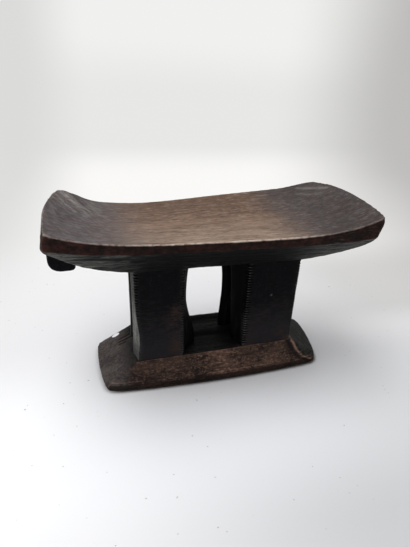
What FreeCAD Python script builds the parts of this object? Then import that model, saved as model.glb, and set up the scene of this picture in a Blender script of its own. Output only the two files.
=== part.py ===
import FreeCAD, Part
import math
import os

# A carved wooden stool: a curled seat over four notched legs on a bevelled foot block.
# Millimetres. X runs along the seat, Y from front to back, Z up from the floor.
# The origin lies on the floor under the middle of the seat.

# Legs: four posts, two in front and two behind, with a window between left and right
leg_span = 104.0             # front face of the front legs to rear face of the rear legs
leg_gap = 24.0               # clear width between a front leg and the one behind it
left_leg_outer = -120.0      # the two arrises of a left leg's outward face
left_leg_inner = -49.0
right_leg_inner = 48.0       # and of a right leg's, which was cut a little wider
right_leg_outer = 131.0
# How far the sides swell past their arrises, at five levels from foot to head
left_window_swells = (25.0, 21.0, 11.0, 10.5, 17.0)
front_right_window_swells = (10.0, 11.5, 13.5, 16.0, 24.0)
rear_right_window_swells = (21.0, 20.5, 18.0, 20.5, 26.5)
flank_swells = (4.0, 2.5, 2.0, 2.0, 2.5)
cheek_depth = 13.0           # flat strip behind each arris, which carries the notches
window_cheek_proud = 5.0     # how far that strip stands out at its back
flank_cheek_proud = 1.5
leg_side_belly = 1.0         # how far the middle of either side stands out
leg_back_bevel = 6.0         # bevel beside the gap
leg_end_overrun = 8.0        # run into the seat and the foot block before being trimmed to them

# Saw-tooth notches cut across the arrises of each outward face
notch_pitch = 4.4
notch_mouth = 2.8
notch_reach = 9.5            # how far each runs in over both faces
notch_end_margin = 3.0

# Foot block, cut by eye: the right end runs longer and splays out towards the back
base_top_height = 49.7
base_top_drop = 5.0          # how much lower the left end of the top lies
base_lip_height = 10.0
base_width = 121.0           # across its corners
base_left_front = 169.0      # from the middle to each corner of the lip
base_left_rear = 181.5
base_right_front = 185.0
base_right_rear = 206.0
base_end_bow = 3.0           # how far the ends and the long sides swell in plan
base_side_bow = 7.0
base_corner_cuts = (15.0,) * 4   # pared off front left, front right, rear right and rear left
base_top_corner_cuts = (2.0,) * 4
base_shoulder = 1.0          # flat left outside the arrises of the legs

# Seat
seat_left_front = 221.5      # from the middle to each corner of the rim
seat_left_rear = 215.5
seat_right_front = 222.5
seat_right_rear = 220.5
seat_width = 202.0
seat_end_bow = 9.0           # how far each end swells past its corners in plan
seat_corner_cuts = (10.0, 8.0, 14.0, 20.0)
seat_end_belly = 2.5         # how far the end faces stand out under the rim
seat_belly_drop = 9.0        # how far down they do so
seat_end_tuck = 0.15         # how far they draw in below that, for each unit of height
seat_rim_height = 251.0      # front rim over the floor, at the middle
seat_rear_rise = 2.8         # how much higher the rear rim stands
seat_corner_rise = 21.5      # how far the rims curl up to their corners
seat_end_crown = 2.5         # how far the ends arch over their corners
seat_dish = 4.0              # hollow across the middle of the seat
seat_band_middle = 12.2      # height of the rim's band at the middle
seat_left_band_corner = 20.0   # and at the corners
seat_right_band_corner = 28.0
seat_depth = 56.5            # from the front rim down to the flat underside
seat_left_hull_start = 98.0  # from the middle to the lowest point of each end's round belly
seat_right_hull_start = 116.0
seat_hull_dip = 0.8          # how far that point would lie below the flat underside
seat_station_count = 13
seat_front_twist = -1.2      # how much a rim gains at the right and loses at the left
seat_rear_twist = 7.2
rim_curl_power = 4           # how late the rim curls up
crown_power = 4              # how late the dish turns into the end's arch

# Grip lugs under the two ends of the seat
lug_length = 34.0            # along X
lug_width = 92.0             # along Y
lug_foot_width = 84.0
lug_lift = 5.5               # how far their feet stay above the flat underside
lug_inset = 1.0              # from the foot of the end face
lug_outer_round = 14.0
lug_inner_round = 6.0

cut_overrun = 2.0            # how far cutters run past what they cut

half_span = leg_span / 2
half_gap = leg_gap / 2
seat_underside_height = seat_rim_height - seat_depth
lug_bottom_height = seat_underside_height + lug_lift
leg_height = seat_underside_height - base_top_height
notch_height = leg_height - 2 * notch_end_margin
seat_half_width = seat_width / 2
seat_corner_height = seat_rim_height + seat_corner_rise
seat_belly_height = seat_corner_height - seat_belly_drop
seat_left_band_low = seat_corner_height - seat_left_band_corner
seat_right_band_low = seat_corner_height - seat_right_band_corner
seat_left_corner = (seat_left_front + seat_left_rear) / 2
seat_right_corner = (seat_right_front + seat_right_rear) / 2
seat_left_end = seat_left_corner + seat_end_bow + seat_end_belly
seat_right_end = seat_right_corner + seat_end_bow + seat_end_belly


def point(x, y, z):
    return FreeCAD.Vector(x, y, z)


def segment(a, b):
    return Part.makeLine(a, b)


def arc_through(a, b, c):
    return Part.Arc(a, b, c).toShape()


def prism(outline, direction):
    return Part.Face(outline).extrude(direction)


def polygon(corners):
    return Part.Wire([segment(a, b) for a, b in zip(corners, corners[1:] + corners[:1])])


def bowed_radius(half_chord, bow):
    return (half_chord ** 2 + bow ** 2) / (2 * bow)


def pared_outline(ends, half_width, side_bow, end_bow, corner_cuts, z):
    # Four straight or bowed sides joined by corners pared off in two cuts, from the left front
    left_front, left_rear, right_front, right_rear = ends
    corners = [point(-left_front, -half_width, z), point(right_front, -half_width, z),
               point(right_rear, half_width, z), point(-left_rear, half_width, z)]
    bows = [point(0, -side_bow, 0), point(end_bow, 0, 0), point(0, side_bow, 0), point(-end_bow, 0, 0)]
    edges = []
    for i, bow in enumerate(bows):
        start, stop, after = corners[i], corners[(i + 1) % 4], corners[(i + 2) % 4]
        along, turned = (stop - start).normalize(), (after - stop).normalize()
        cut = corner_cuts[(i + 1) % 4]
        leave, entry, exit_point = start + along * corner_cuts[i], stop - along * cut, stop + turned * cut
        if bow.Length:
            edges.append(arc_through(leave, (start + stop) / 2 + bow, entry))
        else:
            edges.append(segment(leave, entry))
        knuckle = (entry + exit_point + stop * 2) / 4
        edges += [segment(entry, knuckle), segment(knuckle, exit_point)]
    return Part.Wire(edges)


# Seat: sections across it, lofted along its length

def end_share(x):
    # Minus one at the left corners, one at the right ones
    return x / (seat_right_corner if x > 0 else seat_left_corner)


def curl_share(x, power):
    return abs(end_share(x)) ** power


def rim_height(x):
    return seat_rim_height + seat_corner_rise * curl_share(x, rim_curl_power)


def rim_twist(x, twist):
    # Nothing at the middle and the corners, and the full twist where it is strongest
    share = end_share(x)
    strongest = math.sqrt(1 / 3)
    return twist * share * (1 - share ** 2) / (strongest * (1 - strongest ** 2))


def middle_rise(x):
    return (seat_dish + seat_end_crown) * curl_share(x, crown_power) - seat_dish


def band_height(x):
    corner = seat_right_band_corner if x > 0 else seat_left_band_corner
    return seat_band_middle + (corner - seat_band_middle) * curl_share(x, rim_curl_power)


def seat_section(x):
    w = seat_half_width
    front = rim_height(x) + rim_twist(x, seat_front_twist)
    rear = rim_height(x) + seat_rear_rise + rim_twist(x, seat_rear_twist)
    middle = (front + rear) / 2 + 2 * middle_rise(x)
    band = band_height(x)
    corners = [point(x, -w, front), point(x, -w, front - band), point(x, -half_span, seat_underside_height),
               point(x, half_span, seat_underside_height), point(x, w, rear - band), point(x, w, rear)]
    top = Part.BezierCurve()
    top.setPoles([corners[-1], point(x, 0, middle), corners[0]])
    edges = [segment(a, b) for a, b in zip(corners, corners[1:])]
    return Part.Wire(edges + [top.toShape()])


def seat_outline():
    # What the seat covers in plan, its ends widest a little under the rim
    floor = seat_underside_height - cut_overrun
    ceiling = seat_corner_height + seat_corner_rise
    lean = seat_end_belly / seat_belly_drop
    stands = ((floor, seat_end_belly - seat_end_tuck * (seat_belly_height - floor)),
              (seat_belly_height, seat_end_belly),
              (ceiling, seat_end_belly - lean * (ceiling - seat_belly_height)))
    outlines = []
    for z, stand in stands:
        corners = (seat_left_front, seat_left_rear, seat_right_front, seat_right_rear)
        ends = [corner + stand for corner in corners]
        outlines.append(pared_outline(ends, seat_half_width, 0, seat_end_bow, seat_corner_cuts, z))
    return Part.makeLoft(outlines, True, True)


def hull_waste(start_x, end_x, band_low):
    # The wood under a right end's round belly, turned to follow the bow of the end
    axis_x = end_x - bowed_radius(seat_half_width, seat_end_bow)
    low = seat_underside_height - seat_hull_dip
    belly_radius = bowed_radius(end_x - start_x, band_low - low)
    outer = end_x + cut_overrun
    sweep = math.asin((outer - start_x) / belly_radius)
    start, halfway, end = [point(start_x + belly_radius * math.sin(angle), 0,
                                 low + belly_radius * (1 - math.cos(angle)))
                           for angle in (0, sweep / 2, sweep)]
    far = outer + seat_end_bow
    beside = point(far, 0, end.z)
    below_far, below_start = point(far, 0, low - cut_overrun), point(start_x, 0, low - cut_overrun)
    face = Part.Face(Part.Wire([arc_through(start, halfway, end), segment(end, beside),
                                segment(beside, below_far), segment(below_far, below_start),
                                segment(below_start, start)]))
    centre, upright = point(axis_x, 0, 0), point(0, 0, 1)
    half_turn = math.degrees(math.asin((seat_half_width + cut_overrun) / (start_x - axis_x)))
    face.rotate(centre, upright, -half_turn)
    return face.revolve(centre, upright, 2 * half_turn)


def make_seat():
    reach = max(seat_left_end, seat_right_end) + cut_overrun
    step = 2 * reach / (seat_station_count - 1)
    sections = [seat_section(-reach + step * i) for i in range(seat_station_count)]
    body = Part.makeLoft(sections, True, False)
    body = body.common(seat_outline())
    right_waste = hull_waste(seat_right_hull_start, seat_right_end, seat_right_band_low)
    left_waste = hull_waste(seat_left_hull_start, seat_left_end, seat_left_band_low)
    return body.cut(right_waste).cut(left_waste.mirror(point(0, 0, 0), point(1, 0, 0)))


# Legs

def leg_slab(outer, inner):
    # Drawn as a front leg: the flat front face, the two arrises and the flat strips behind them
    side = math.copysign(1, inner - outer)
    front, cheek = -half_span, cheek_depth - half_span
    low, high = base_top_height - leg_end_overrun, seat_underside_height + leg_end_overrun
    corners = [point(outer, front, low), point(inner, front, low),
               point(inner + side * window_cheek_proud, cheek, low),
               point(outer - side * flank_cheek_proud, cheek, low)]
    return prism(polygon(corners), point(0, 0, high - low))


def swell_section(outer, inner, window_swell, flank_swell, z):
    # The swollen part behind the slab, up to the gap between the front and the rear leg
    side = math.copysign(1, inner - outer)
    window_x = inner + side * window_swell
    flank_x = outer - side * flank_swell
    bevel = leg_back_bevel
    cheek, crest = cheek_depth - half_span, -half_gap - bevel
    belly = point(side * leg_side_belly, 0, 0)
    a = point(outer - side * flank_cheek_proud, cheek, z)
    b = point(inner + side * window_cheek_proud, cheek, z)
    c, d = point(window_x, crest, z), point(window_x - side * bevel, -half_gap, z)
    e, f = point(flank_x + side * bevel, -half_gap, z), point(flank_x, crest, z)
    return polygon([a, b, (b + c) / 2 + belly, c, d, e, f, (f + a) / 2 - belly])


def notch_row(arris_x, inward, cheek_proud):
    # V cuts straight across one upright arris, evenly spaced from foot to head
    face = point(inward, 0, 0)
    cheek = point(-inward * cheek_proud, cheek_depth, 0).normalize()
    into = (face + cheek).normalize()
    along = (face - cheek).normalize()
    depth = notch_reach * into.dot(face)
    width = notch_reach + cut_overrun
    mouth = notch_mouth / 2 * (depth + cut_overrun) / depth
    count = int(notch_height / notch_pitch) + 1
    first = base_top_height + (leg_height - (count - 1) * notch_pitch) / 2
    cuts = []
    for i in range(count):
        start = point(arris_x, -half_span, first + i * notch_pitch) - along * width
        tip = start + into * depth
        up, down = start - into * cut_overrun, start - into * cut_overrun
        up.z += mouth
        down.z -= mouth
        cuts.append(prism(polygon([tip, up, down]), along * 2 * width))
    return cuts


def make_leg(outer, inner, window_swells):
    side = math.copysign(1, inner - outer)
    notches = notch_row(outer, side, flank_cheek_proud) + notch_row(inner, -side, window_cheek_proud)
    slab = leg_slab(outer, inner).cut(Part.makeCompound(notches))
    low = base_top_height - leg_end_overrun
    step = (leg_height + 2 * leg_end_overrun) / (len(window_swells) - 1)
    sections = [swell_section(outer, inner, window_swell, flank_swell, low + i * step)
                for i, (window_swell, flank_swell) in enumerate(zip(window_swells, flank_swells))]
    return slab.fuse(Part.makeLoft(sections, True, False))


# Foot block

def make_base():
    half = base_width / 2
    ends = (base_left_front, base_left_rear, base_right_front, base_right_rear)
    top_left = base_shoulder - left_leg_outer
    top_right = base_shoulder + right_leg_outer
    top_ends = (top_left, top_left, top_right, top_right)
    sole = pared_outline(ends, half, base_side_bow, base_end_bow, base_corner_cuts, 0)
    lip = pared_outline(ends, half, base_side_bow, base_end_bow, base_corner_cuts, base_lip_height)
    top = pared_outline(top_ends, half_span + base_shoulder, 0, 0, base_top_corner_cuts, base_top_height)
    top.rotate(point(top_right, 0, base_top_height), point(0, -1, 0),
               math.degrees(base_top_drop / (top_left + top_right)))
    return Part.makeLoft([sole, lip, top], True, True)


# Grip lugs

def make_left_lug(end_x, band_low):
    # Under a left end that lies as far out as end_x, its band's foot at band_low
    x0 = seat_end_tuck * (seat_belly_height - band_low) - end_x + lug_inset
    x1 = x0 + lug_length
    r, q = lug_outer_round, lug_inner_round
    head, low = band_low, lug_bottom_height
    slack = 1 - math.sqrt(1 / 2)
    y = -lug_width / 2
    side_view = [segment(point(x0, y, head), point(x0, y, low + r)),
                 arc_through(point(x0, y, low + r), point(x0 + r * slack, y, low + r * slack),
                             point(x0 + r, y, low)),
                 segment(point(x0 + r, y, low), point(x1 - q, y, low)),
                 arc_through(point(x1 - q, y, low), point(x1 - q * slack, y, low + q * slack),
                             point(x1, y, low + q)),
                 segment(point(x1, y, low + q), point(x1, y, head)),
                 segment(point(x1, y, head), point(x0, y, head))]
    tongue = prism(Part.Wire(side_view), point(0, lug_width, 0))
    foot = lug_foot_width / 2
    x = x0 - cut_overrun
    end_view = polygon([point(x, y, head), point(x, -foot, low), point(x, foot, low), point(x, -y, head)])
    taper = prism(end_view, point(lug_length + 2 * cut_overrun, 0, 0))
    return tongue.common(taper)


def largest_solid(shape):
    return max(shape.Solids, key=lambda solid: solid.Volume)


def make_parts():
    seat = make_seat()
    base = make_base()
    left_leg = make_leg(left_leg_outer, left_leg_inner, left_window_swells)
    right_leg = make_leg(right_leg_outer, right_leg_inner, front_right_window_swells)
    far_right_leg = make_leg(right_leg_outer, right_leg_inner, rear_right_window_swells)
    centre, across, along = point(0, 0, 0), point(0, 1, 0), point(1, 0, 0)
    legs = {
        "front_left_leg": left_leg,
        "front_right_leg": right_leg,
        "rear_left_leg": left_leg.mirror(centre, across),
        "rear_right_leg": far_right_leg.mirror(centre, across),
    }
    left_lug = make_left_lug(seat_left_end, seat_left_band_low)
    right_lug = make_left_lug(seat_right_end, seat_right_band_low).mirror(centre, along)
    parts = {"seat": seat, "base": base, "left_lug": left_lug.cut(seat), "right_lug": right_lug.cut(seat)}
    for name, leg in legs.items():
        parts[name] = leg.cut(seat).cut(base)
    return parts


os.makedirs("parts", exist_ok=True)
for name, shape in make_parts().items():
    solid = largest_solid(shape)
    solid.exportStep(os.path.join("parts", name + ".step"))
    print(name, "solids", len(shape.Solids), "valid", solid.isValid(),
          "volume cm3", round(solid.Volume / 1000, 1))
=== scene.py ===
import itertools
import math

import bpy
import numpy as np
from mathutils import Matrix, Vector


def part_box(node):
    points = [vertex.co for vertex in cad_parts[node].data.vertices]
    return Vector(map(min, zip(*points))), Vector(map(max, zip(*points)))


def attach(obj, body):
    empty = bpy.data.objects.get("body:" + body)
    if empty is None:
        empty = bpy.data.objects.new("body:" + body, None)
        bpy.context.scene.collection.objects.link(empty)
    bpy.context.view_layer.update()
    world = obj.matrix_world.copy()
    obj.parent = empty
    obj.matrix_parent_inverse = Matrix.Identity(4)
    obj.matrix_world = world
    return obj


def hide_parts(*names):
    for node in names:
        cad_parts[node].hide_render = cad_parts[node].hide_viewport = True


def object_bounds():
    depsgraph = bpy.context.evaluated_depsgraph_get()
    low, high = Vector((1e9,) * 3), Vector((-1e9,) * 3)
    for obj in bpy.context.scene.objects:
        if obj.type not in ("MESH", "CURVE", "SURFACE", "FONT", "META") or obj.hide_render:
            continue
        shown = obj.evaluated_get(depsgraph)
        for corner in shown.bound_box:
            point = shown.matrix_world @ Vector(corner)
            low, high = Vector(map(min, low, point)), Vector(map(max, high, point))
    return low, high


# A carved stool of dark wood: curled seat, four notched legs, bevelled foot block and two grip lugs.
# Metres, in the frame of the CAD model: X along the seat, Y to the back, Z up.

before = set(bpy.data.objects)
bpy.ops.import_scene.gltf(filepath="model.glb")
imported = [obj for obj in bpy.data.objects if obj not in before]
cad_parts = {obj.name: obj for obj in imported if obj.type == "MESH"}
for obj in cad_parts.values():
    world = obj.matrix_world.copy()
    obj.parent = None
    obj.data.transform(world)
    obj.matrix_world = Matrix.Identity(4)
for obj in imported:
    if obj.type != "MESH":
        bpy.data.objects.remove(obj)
cadLow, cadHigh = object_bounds()
scene = bpy.context.scene
print("frame loaded:", len(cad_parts), "solids")

mm = 0.001


# Random fields, each from its own seed

def softNoise(points, size, seed):
    # Smooth values from 0 to 1 on a lattice of the given cell size
    cells = 48
    lattice = np.random.default_rng(seed).random((cells,) * 3)
    where = points / np.array(size)
    cell = np.floor(where).astype(int)
    part = where - cell
    part = part * part * (3 - 2 * part)
    result = np.zeros(len(points))
    for corner in itertools.product((0, 1), repeat=3):
        weight = np.prod(np.where(np.array(corner) == 1, part, 1 - part), axis=1)
        i, j, k = ((cell + np.array(corner)) % cells).T
        result += weight * lattice[i, j, k]
    return result


def gougeDishes(points, size, seed):
    # Shallow dishes that meet in ridges: 0 in the middle of a dish, 1 on a ridge
    cells = 32
    jitter = np.random.default_rng(seed).random((cells,) * 3 + (3,))
    where = points / np.array(size)
    cell = np.floor(where).astype(int)
    nearest = np.full(len(points), 9.0)
    for step in itertools.product((-1, 0, 1), repeat=3):
        other = cell + np.array(step)
        i, j, k = (other % cells).T
        gap = other + jitter[i, j, k] - where
        nearest = np.minimum(nearest, (gap ** 2).sum(axis=1))
    return np.minimum(nearest, 1.0)


def easeBetween(value, low, high):
    share = np.clip((value - low) / (high - low), 0, 1)
    return share * share * (3 - 2 * share)


def nearPath(points, path, width, axes=(0, 1)):
    # One on a path drawn along two axes in millimetres, falling to nothing over its width
    gap, flat = np.full(len(points), 1.0), points[:, axes]
    for start, stop in itertools.pairwise(np.array(path) * mm):
        along = np.clip((flat - start) @ (stop - start) / ((stop - start) @ (stop - start)), 0, 1)
        gap = np.minimum(gap, np.linalg.norm(flat - start - along[:, None] * (stop - start), axis=1))
    return np.exp(-(gap / (width * mm)) ** 2)


def strayed(points, look, key):
    # Smooth wander to both sides, over the measure that the look names
    return (softNoise(points, look[key + "Cell"], look["seeds"][key]) - 0.5) * look[key]


def adzed(points, look):
    # Large and small dishes together: positive in a dish, negative on a ridge
    large = 0.5 - gougeDishes(points, look["dishCell"], look["seeds"]["dish"])
    small = 0.5 - gougeDishes(points, look["smallCell"], look["seeds"]["small"])
    return large * 0.6 + small * 0.4


def pushed(points, pushes):
    # Soft local shifts, each a place, its reach along the axes and a shift, in millimetres
    total = np.zeros_like(points)
    for place, reach, shift in pushes:
        gap = (points / mm - np.array(place)) / np.array(reach)
        total += np.exp(-(gap ** 2).sum(axis=1))[:, None] * np.array(shift) * mm
    return points + total


# Meshes as arrays

def readTable(items, name, width, kind=float):
    flat = np.zeros(len(items) * width, kind)
    items.foreach_get(name, flat)
    return flat.reshape(-1, width)


def readPoints(mesh):
    return readTable(mesh.vertices, "co", 3)


def readNormals(mesh):
    return readTable(mesh.vertices, "normal", 3)


def readEdges(mesh):
    return readTable(mesh.edges, "vertices", 2, np.int32)


def writePoints(mesh, points):
    # Nothing stands outside the CAD model's box
    inside = np.clip(points, np.array(cadLow), np.array(cadHigh))
    mesh.vertices.foreach_set("co", inside.ravel())
    mesh.update()


def writeMask(mesh, name, values):
    mask = mesh.attributes.new(name, "FLOAT", "POINT")
    mask.data.foreach_set("value", values.astype(np.float32))


def relaxed(values, edges, rounds, share=0.5):
    # Each point moves towards the mean of its neighbours, or each value towards theirs
    flat = values.reshape(len(values), -1)
    first, second = edges.T
    count = np.bincount(edges.ravel(), minlength=len(flat))[:, None]
    for _ in range(rounds):
        sums = [np.bincount(first, column[second], len(flat)) + np.bincount(second, column[first], len(flat))
                for column in flat.T]
        flat = flat + share * (np.stack(sums, axis=1) / count - flat)
    return flat.reshape(values.shape)


def markEdges(mesh, rounds, full, keep=1):
    # How far each point stands out of its surroundings or lies sunk in them, one at the full measure
    points, edges = readPoints(mesh), readEdges(mesh)
    stand = ((points - relaxed(points, edges, rounds)) * readNormals(mesh)).sum(axis=1)
    stand = relaxed(stand, edges, 2) * keep
    writeMask(mesh, "wear", np.clip(stand / full, 0, 1))
    writeMask(mesh, "hollow", np.clip(-stand / full, 0, 1))


def newObject(name, data):
    made = bpy.data.objects.new(name, data)
    scene.collection.objects.link(made)
    return made


def newPiece(name, mesh, node, material):
    mesh.materials.clear()
    mesh.materials.append(material)
    mesh.shade_smooth()
    piece = newObject(name, mesh)
    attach(piece, "root")
    if node:
        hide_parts(node)
    return piece


def evenCopy(node, look):
    # A fine, even and slightly softened mesh of one CAD solid
    rough = newObject("rough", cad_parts[node].data.copy())
    remesh = rough.modifiers.new("even", "REMESH")
    remesh.mode = "VOXEL"
    remesh.voxel_size = look["voxel"]
    ready = rough.evaluated_get(bpy.context.evaluated_depsgraph_get())
    mesh = bpy.data.meshes.new_from_object(ready)
    bpy.data.objects.remove(rough)
    mesh.name = node
    writePoints(mesh, relaxed(readPoints(mesh), readEdges(mesh), look["softening"]))
    return mesh


# Shader expressions

class Wire:
    # A node's output that can stand in an expression
    def __init__(self, recipe, socket):
        self.recipe = recipe
        self.socket = socket

    def of(self, name):
        return Wire(self.recipe, self.socket.node.outputs[name])

    def maths(self, operation, left, right):
        return self.recipe.node("ShaderNodeMath", {"operation": operation}, {0: left, 1: right})

    def __add__(self, other):
        return self.maths("ADD", self, other)

    def __radd__(self, other):
        return self.maths("ADD", other, self)

    def __sub__(self, other):
        return self.maths("SUBTRACT", self, other)

    def __rsub__(self, other):
        return self.maths("SUBTRACT", other, self)

    def __mul__(self, other):
        return self.maths("MULTIPLY", self, other)

    def __rmul__(self, other):
        return self.maths("MULTIPLY", other, self)


class Recipe:
    # One material, built node by node
    def __init__(self, name):
        self.material = bpy.data.materials.new(name)
        self.material.use_nodes = True
        self.tree = self.material.node_tree
        self.tree.nodes.clear()

    def node(self, kind, settings, sockets):
        made = self.tree.nodes.new(kind)
        for key, value in settings.items():
            setattr(made, key, value)
        for key, value in sockets.items():
            named = [s for s in made.inputs if s.enabled and s.name == key]
            socket = made.inputs[key] if isinstance(key, int) else named[0]
            if isinstance(value, Wire):
                self.tree.links.new(value.socket, socket)
            else:
                socket.default_value = value
        return Wire(self, next((s for s in made.outputs if s.enabled), None))

    def place(self):
        return self.node("ShaderNodeTexCoord", {}, {}).of("Object")

    def stretched(self, scale):
        return self.node("ShaderNodeMapping", {}, {"Vector": self.place(), "Scale": scale})

    def noise(self, scale, detail=4.0, roughness=0.55, distortion=0.0):
        # Scale is in cells to the metre along each axis
        sockets = {"Vector": self.stretched(scale), "Scale": 1.0, "Detail": detail,
                   "Roughness": roughness, "Distortion": distortion}
        return self.node("ShaderNodeTexNoise", {}, sockets).of("Fac")

    def scrapes(self, turn, long, short):
        # Streaks laid at an angle in plan, their length and width in metres
        sockets = {"Vector": self.place(), "Rotation": (0, 0, turn), "Scale": (long, short, short)}
        laid = self.node("ShaderNodeMapping", {"vector_type": "TEXTURE"}, sockets)
        sockets = {"Vector": laid, "Scale": 1.0, "Detail": 4.0, "Roughness": 0.65, "Distortion": 0.3}
        return self.node("ShaderNodeTexNoise", {}, sockets).of("Fac")

    def ease(self, value, low, high):
        # Zero at the low end and one at the high end, which may lie below it
        settings = {"interpolation_type": "SMOOTHSTEP", "clamp": True}
        return self.node("ShaderNodeMapRange", settings, {"Value": value, "From Min": low, "From Max": high})

    def noises(self, look):
        return [self.noise(*measures) for measures in look["noises"].values()]

    def mask(self, name):
        # What the mesh code wrote on the points under this name
        return self.node("ShaderNodeAttribute", {"attribute_name": name}, {}).of("Fac")

    def masks(self, *names):
        return [self.mask(name) for name in names]

    def blend(self, share, under, over):
        settings = {"data_type": "RGBA", "blend_type": "MIX", "clamp_factor": True}
        return self.node("ShaderNodeMix", settings, {"Factor": share, "A": under, "B": over})

    def finish(self, colour, roughness, height, look):
        relief = {"Height": height, "Strength": look["bumpStrength"], "Distance": look["bumpDepth"]}
        normal = self.node("ShaderNodeBump", {}, relief)
        sockets = {"Base Color": colour, "Roughness": roughness, "Normal": normal,
                   "Specular IOR Level": look["specular"]}
        surface = self.node("ShaderNodeBsdfPrincipled", {}, sockets)
        self.node("ShaderNodeOutputMaterial", {}, {"Surface": surface})
        return self.material


def tone(red, green, blue):
    # A colour as it reads on the screen
    def linear(value):
        share = value / 255
        return share / 12.92 if share <= 0.04045 else ((share + 0.055) / 1.055) ** 2.4
    return (linear(red), linear(green), linear(blue), 1.0)


seatFinish = {
    "brown": tone(124, 100, 83),
    "umber": tone(92, 71, 58),
    "deep": tone(44, 33, 28),
    "tan": tone(140, 121, 106),
    "russet": tone(88, 65, 50),
    "ash": tone(96, 92, 93),
    "plum": tone(66, 56, 58),
    "slate": tone(56, 49, 48),
    "pale": tone(140, 134, 130),
    "bandBrown": tone(56, 30, 23),
    "bandDark": tone(20, 11, 10),
    "black": tone(9, 9, 10),
    "dust": tone(98, 97, 92),
    "worn": tone(170, 150, 135),
    "rim": tone(196, 180, 168),
    # Cells to the metre along each axis, detail, roughness and distortion, in the order that the recipe has
    "noises": {
        "broad": ((9, 80, 10), 4, 0.6, 0.4),
        "streaks": ((34, 170, 12), 5, 0.7, 0.5),
        "grain": ((90, 330, 40), 3, 0.7),
        "pores": ((150, 1000, 1000), 2, 0.6),
        "patches": ((14, 24, 24), 4, 0.6),
        "mottle": ((80, 120, 120), 5, 0.75),
        "rough": ((90, 140, 140), 4, 0.6),
        "chisel": ((20, 150, 210), 5, 0.75, 0.8),
        "flecks": ((60, 300, 300), 4, 0.75),
    },
    "scrapeTurn": math.radians(-58),
    "scrapeLong": 60 * mm,
    "scrapeShort": 4 * mm,
    "bumpStrength": 0.7,
    "bumpDepth": 0.9 * mm,
    "specular": 0.1,
}


def makeSeatWood():
    f = seatFinish
    r = Recipe("woodSeat")
    top, band, ends, rightEnd = r.masks("topFace", "bandFace", "ends", "rightEnd")
    rear, front, wear, hollow = r.masks("rearShare", "frontShare", "wear", "hollow")
    pale, darkened, scraped, endLight = r.masks("pale", "darkened", "scraped", "endLight")
    broad, streaks, grain, pores, patches, mottle, rough, chisel, flecks = r.noises(f)
    scrapes = r.scrapes(f["scrapeTurn"], f["scrapeLong"], f["scrapeShort"])

    # Top
    colour = r.blend(r.ease(broad * 0.5 + patches * 0.5, 0.36, 0.64), f["umber"], f["brown"])
    colour = r.blend(rear * r.ease(patches * 0.6 + broad * 0.4, 0.3, 0.6) * 0.8, colour, f["russet"])
    # Painted sheen, partly lighter wear, along the front of the top
    colour = r.blend(front * r.ease(broad * 0.6 + patches * 0.4, 0.2, 0.6), colour, f["tan"])
    greyed = r.blend(r.ease(mottle * 0.5 + streaks * 0.5, 0.4, 0.62), f["plum"], f["ash"])
    colour = r.blend(r.ease(ends + mottle * 0.5 - 0.25, 0, 1), colour, greyed)
    colour = r.blend(rightEnd * (0.55 + broad * 0.5), colour, f["slate"])
    colour = r.blend(scraped * r.ease(scrapes, 0.5, 0.68) * 0.36, colour, f["pale"])
    colour = r.blend(scraped * r.ease(scrapes, 0.5, 0.36) * 0.6, colour, f["plum"])
    spots = mottle * 0.5 + flecks * 0.5
    colour = r.blend(r.ease(spots, 0.5, 0.62) * ends * 0.6, colour, f["ash"])
    colour = r.blend(r.ease(spots, 0.48, 0.36) * ends * 0.5, colour, f["umber"])
    fibres = streaks * 0.5 + grain * 0.5
    colour = r.blend(r.ease(fibres, 0.5, 0.64) * (0.75 - ends * 0.25), colour, f["deep"])
    colour = r.blend(r.ease(fibres, 0.49, 0.36) * (0.5 - ends * 0.34), colour, f["worn"])
    # Dark marks: partly stains, partly painted shade in the carved grooves, and the top darker towards the rear
    colour = r.blend(darkened * 0.6, colour, f["deep"])
    # Pale marks: pale scratches with a painted highlight along the carved ridges
    colour = r.blend(pale * r.ease(mottle * 0.6 + streaks * 0.4, 0.34, 0.58) * 0.85, colour, f["pale"])

    # Band and underside
    bandColour = r.blend(r.ease(patches * 0.4 + mottle * 0.6, 0.42, 0.64), f["bandDark"], f["bandBrown"])
    bandColour = r.blend(r.ease(flecks, 0.54, 0.7) * (0.06 + rightEnd * 0.22), bandColour, f["dust"])
    # Underside: painted light, grey towards the ends where floor and side light reach it, black in the middle
    dustAndLight = r.ease(chisel + endLight * 0.14, 0.52, 0.7) * (0.04 + endLight * 0.9 - rightEnd * 0.2)
    underColour = r.blend(dustAndLight * r.ease(flecks, 0.25, 0.6), f["black"], f["dust"])
    sides = r.blend(r.ease(band + mottle * 0.6, 0.65, 0.95), underColour, bandColour)
    colour = r.blend(r.ease(top + rough * 0.3, 0.55, 0.75), sides, colour)
    # Lighter rims: edge wear, partly a painted highlight along the rims
    worn = r.ease(wear + rough * 0.3, 0.5, 0.95) * (0.1 + top * (0.9 - ends * 0.8)) * r.ease(mottle, 0.34, 0.56)
    colour = r.blend(worn, colour, f["rim"])
    # Painted shade in hollows
    colour = r.blend(hollow * 0.75, colour, f["black"])

    height = streaks * 0.4 + grain * 0.5 + pores * 0.3 + (rough * 0.6 + chisel * 1.6) * (1 - top)
    roughness = 0.5 + patches * 0.15 + (1 - top) * 0.06
    return r.finish(colour, roughness, height, f)


darkFinish = {
    "black": tone(6, 6, 9),
    "soot": tone(3, 3, 3),
    "slate": tone(30, 29, 32),
    "brown": tone(47, 36, 33),
    "dust": tone(116, 116, 112),
    "noises": {
        "grain": ((90, 90, 14), 5, 0.65, 0.5),
        "patches": ((30, 30, 30), 5, 0.7),
        "specks": ((210, 210, 260), 4, 0.75),
        "hatchFlat": ((90, 90, 420), 4, 0.7),
        "hatchUpright": ((420, 200, 60), 4, 0.7),
    },
    "bumpStrength": 0.6,
    "bumpDepth": 0.6 * mm,
    "specular": 0.07,
}


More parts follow.
